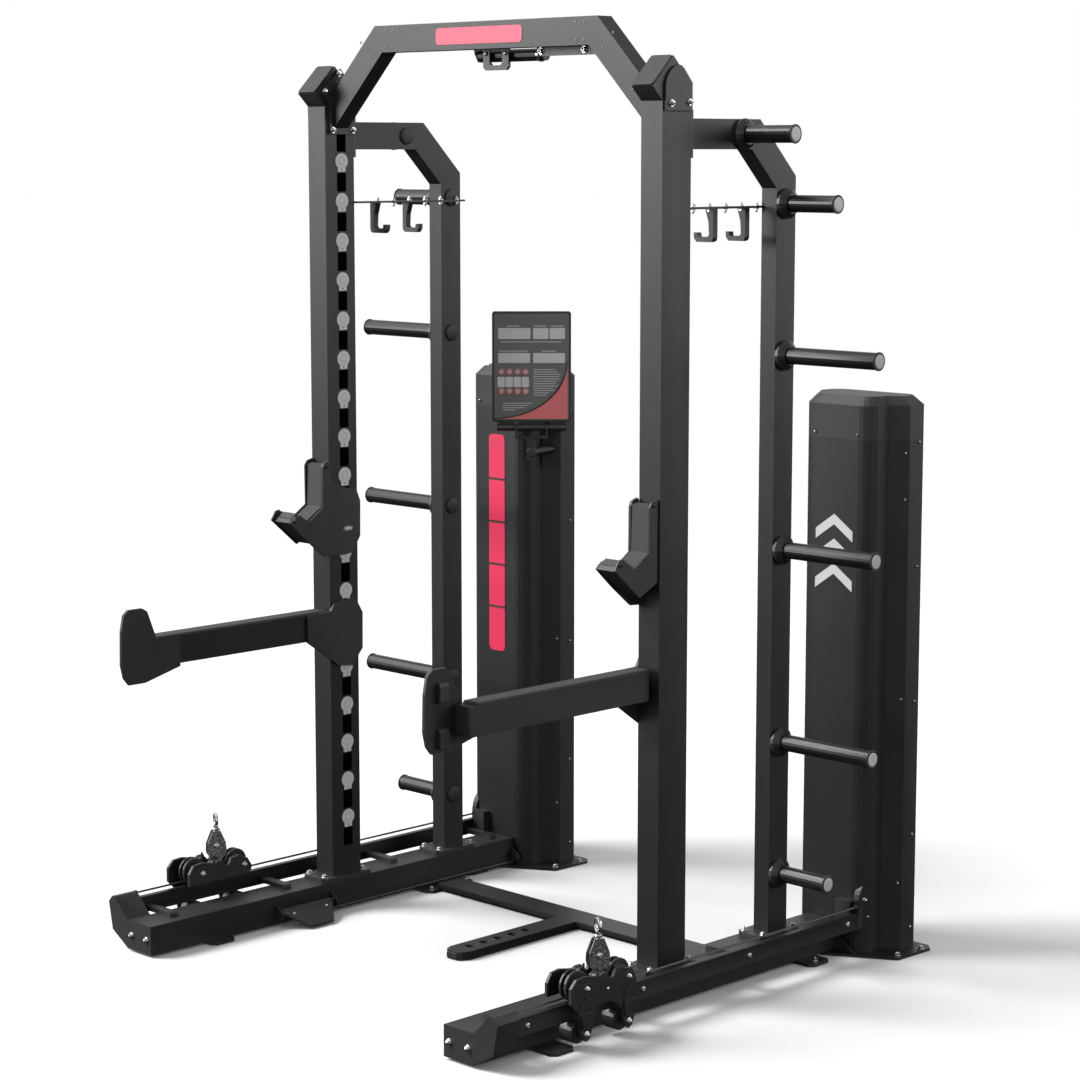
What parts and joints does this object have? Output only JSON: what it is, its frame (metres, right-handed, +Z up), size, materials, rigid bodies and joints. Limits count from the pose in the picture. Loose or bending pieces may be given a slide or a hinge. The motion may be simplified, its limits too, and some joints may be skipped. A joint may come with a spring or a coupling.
{
  "type": "power cage with cable resistance towers",
  "caption": "Black steel half rack with bar hooks, spotter arms and weight horns, joined to two cable resistance towers by floor rails with sliding pulleys.",
  "frame": {"origin": "on the floor at the centre of the footprint's bounding box", "axes": "+Z up, +Y from the lifter's side towards the towers, +X to the right when facing the towers"},
  "size_m": [1.79, 1.52, 2.309],
  "materials": {
    "frame_paint": "satin black powder coat",
    "trim_paint": "satin black paint",
    "cover_paint": "satin black powder coat on sheet metal",
    "hook_liner": "moulded matt plastic",
    "pad_rubber": "matt rubber",
    "horn_coat": "smooth satin black",
    "wheel_plastic": "turned nylon",
    "plated_steel": "bright plated",
    "cable_sheath": "smooth black sheath",
    "roller_steel": "dark brushed",
    "display_case": "printed grey face in a dark case"
  },
  "bodies": {
    "cage": {"rail_left": "frame_paint", "end_cap_left": "frame_paint", "upright_left": "frame_paint", "rear_frame_left": "frame_paint", "track_left": "trim_paint", "hook_rail_left": "trim_paint", "tower_shell_left": "cover_paint", "tower_cap_left": "cover_paint", "horn_left_1": "horn_coat", "horn_left_2": "horn_coat", "horn_left_3": "horn_coat", "horn_left_4": "horn_coat", "horn_left_5": "horn_coat", "horn_left_6": "horn_coat", "cable_left": "cable_sheath", "rail_right": "frame_paint", "end_cap_right": "frame_paint", "upright_right": "frame_paint", "rear_frame_right": "frame_paint", "track_right": "trim_paint", "hook_rail_right": "trim_paint", "tower_shell_right": "cover_paint", "tower_cap_right": "cover_paint", "horn_right_1": "horn_coat", "horn_right_2": "horn_coat", "horn_right_3": "horn_coat", "horn_right_4": "horn_coat", "horn_right_5": "horn_coat", "horn_right_6": "horn_coat", "cable_right": "cable_sheath", "arch": "frame_paint", "cross_member": "frame_paint", "ring_bracket": "trim_paint", "display_mount": "trim_paint"},
    "pull_roller": {"pull_roller": "roller_steel"},
    "display": {"display": "display_case"},
    "jhook_left": {"jhook_left": "frame_paint", "jhook_liner_left": "hook_liner"},
    "spotter_arm_left": {"spotter_arm_left": "frame_paint", "spotter_pad_left": "pad_rubber"},
    "pedal_left": {"pedal_left": "trim_paint"},
    "trolley_left": {"trolley_left": "trim_paint"},
    "wheel_upper_front_left": {"wheel_upper_front_left": "wheel_plastic"},
    "wheel_upper_rear_left": {"wheel_upper_rear_left": "wheel_plastic"},
    "wheel_lower_front_left": {"wheel_lower_front_left": "wheel_plastic"},
    "wheel_lower_rear_left": {"wheel_lower_rear_left": "wheel_plastic"},
    "pulley_block_left": {"pulley_block_left": "plated_steel"},
    "sheave_left": {"sheave_left": "wheel_plastic"},
    "jhook_right": {"jhook_right": "frame_paint", "jhook_liner_right": "hook_liner"},
    "spotter_arm_right": {"spotter_arm_right": "frame_paint", "spotter_pad_right": "pad_rubber"},
    "pedal_right": {"pedal_right": "trim_paint"},
    "trolley_right": {"trolley_right": "trim_paint"},
    "wheel_upper_front_right": {"wheel_upper_front_right": "wheel_plastic"},
    "wheel_upper_rear_right": {"wheel_upper_rear_right": "wheel_plastic"},
    "wheel_lower_front_right": {"wheel_lower_front_right": "wheel_plastic"},
    "wheel_lower_rear_right": {"wheel_lower_rear_right": "wheel_plastic"},
    "pulley_block_right": {"pulley_block_right": "plated_steel"},
    "sheave_right": {"sheave_right": "wheel_plastic"}
  },
  "joints": [
    {"name": "pull_roller_spin", "type": "hinge", "parent": "cage", "child": "pull_roller", "pos_m": [0.032, 0.018, 2.228], "axis": [1, 0, 0], "continuous": true},
    {"name": "display_tilt", "type": "hinge", "parent": "cage", "child": "display", "pos_m": [-0.447, 0.558, 1.251], "axis": [0.7071, 0.7071, 0], "range_deg": [-15, 25]},
    {"name": "jhook_lift_left", "type": "slide", "parent": "cage", "child": "jhook_left", "axis": [0, 0, 1], "range_m": [0, 0.0112]},
    {"name": "spotter_lift_left", "type": "slide", "parent": "cage", "child": "spotter_arm_left", "axis": [0, 0, 1], "range_m": [0, 0.0112]},
    {"name": "pedal_press_left", "type": "hinge", "parent": "cage", "child": "pedal_left", "pos_m": [-0.52025, -0.205, 0.042], "axis": [0, 1, 0], "range_deg": [0, 3], "stiffness_Nm_per_rad": 12, "springref_deg": -11.46},
    {"name": "trolley_slide_left", "type": "slide", "parent": "cage", "child": "trolley_left", "axis": [0, 1, 0], "range_m": [-0.125, 0.66]},
    {"name": "wheel_upper_front_left_spin", "type": "hinge", "parent": "trolley_left", "child": "wheel_upper_front_left", "pos_m": [-0.692, -0.4425, 0.149], "axis": [1, 0, 0], "continuous": true},
    {"name": "wheel_upper_rear_left_spin", "type": "hinge", "parent": "trolley_left", "child": "wheel_upper_rear_left", "pos_m": [-0.692, -0.3055, 0.149], "axis": [1, 0, 0], "continuous": true},
    {"name": "wheel_lower_front_left_spin", "type": "hinge", "parent": "trolley_left", "child": "wheel_lower_front_left", "pos_m": [-0.692, -0.4425, 0.044], "axis": [1, 0, 0], "continuous": true},
    {"name": "wheel_lower_rear_left_spin", "type": "hinge", "parent": "trolley_left", "child": "wheel_lower_rear_left", "pos_m": [-0.692, -0.3055, 0.044], "axis": [1, 0, 0], "continuous": true},
    {"name": "block_swivel_left", "type": "hinge", "parent": "trolley_left", "child": "pulley_block_left", "pos_m": [-0.692, -0.362, 0.2], "axis": [0, 0, 1], "range_deg": [-90, 90]},
    {"name": "sheave_spin_left", "type": "hinge", "parent": "pulley_block_left", "child": "sheave_left", "pos_m": [-0.692, -0.362, 0.203], "axis": [0.9063, -0.4226, 0], "continuous": true},
    {"name": "jhook_lift_right", "type": "slide", "parent": "cage", "child": "jhook_right", "axis": [0, 0, 1], "range_m": [0, 0.0112]},
    {"name": "spotter_lift_right", "type": "slide", "parent": "cage", "child": "spotter_arm_right", "axis": [0, 0, 1], "range_m": [0, 0.0112]},
    {"name": "pedal_press_right", "type": "hinge", "parent": "cage", "child": "pedal_right", "pos_m": [0.52025, -0.205, 0.042], "axis": [0, -1, 0], "range_deg": [0, 3], "stiffness_Nm_per_rad": 12, "springref_deg": -11.46},
    {"name": "trolley_slide_right", "type": "slide", "parent": "cage", "child": "trolley_right", "axis": [0, 1, 0], "range_m": [-0.125, 0.66]},
    {"name": "wheel_upper_front_right_spin", "type": "hinge", "parent": "trolley_right", "child": "wheel_upper_front_right", "pos_m": [0.692, -0.4425, 0.149], "axis": [1, 0, 0], "continuous": true},
    {"name": "wheel_upper_rear_right_spin", "type": "hinge", "parent": "trolley_right", "child": "wheel_upper_rear_right", "pos_m": [0.692, -0.3055, 0.149], "axis": [1, 0, 0], "continuous": true},
    {"name": "wheel_lower_front_right_spin", "type": "hinge", "parent": "trolley_right", "child": "wheel_lower_front_right", "pos_m": [0.692, -0.4425, 0.044], "axis": [1, 0, 0], "continuous": true},
    {"name": "wheel_lower_rear_right_spin", "type": "hinge", "parent": "trolley_right", "child": "wheel_lower_rear_right", "pos_m": [0.692, -0.3055, 0.044], "axis": [1, 0, 0], "continuous": true},
    {"name": "block_swivel_right", "type": "hinge", "parent": "trolley_right", "child": "pulley_block_right", "pos_m": [0.692, -0.362, 0.2], "axis": [0, 0, 1], "range_deg": [-90, 90]},
    {"name": "sheave_spin_right", "type": "hinge", "parent": "pulley_block_right", "child": "sheave_right", "pos_m": [0.692, -0.362, 0.203], "axis": [0.9063, -0.4226, 0], "continuous": true}
  ],
  "couplings": [
    {"joint": "wheel_upper_front_left_spin", "follows": "trolley_slide_left", "rad_per_m": -28.011},
    {"joint": "wheel_upper_rear_left_spin", "follows": "trolley_slide_left", "rad_per_m": -28.011},
    {"joint": "wheel_lower_front_left_spin", "follows": "trolley_slide_left", "rad_per_m": 37.453},
    {"joint": "wheel_lower_rear_left_spin", "follows": "trolley_slide_left", "rad_per_m": 37.453},
    {"joint": "wheel_upper_front_right_spin", "follows": "trolley_slide_right", "rad_per_m": -28.011},
    {"joint": "wheel_upper_rear_right_spin", "follows": "trolley_slide_right", "rad_per_m": -28.011},
    {"joint": "wheel_lower_front_right_spin", "follows": "trolley_slide_right", "rad_per_m": 37.453},
    {"joint": "wheel_lower_rear_right_spin", "follows": "trolley_slide_right", "rad_per_m": 37.453}
  ]
}
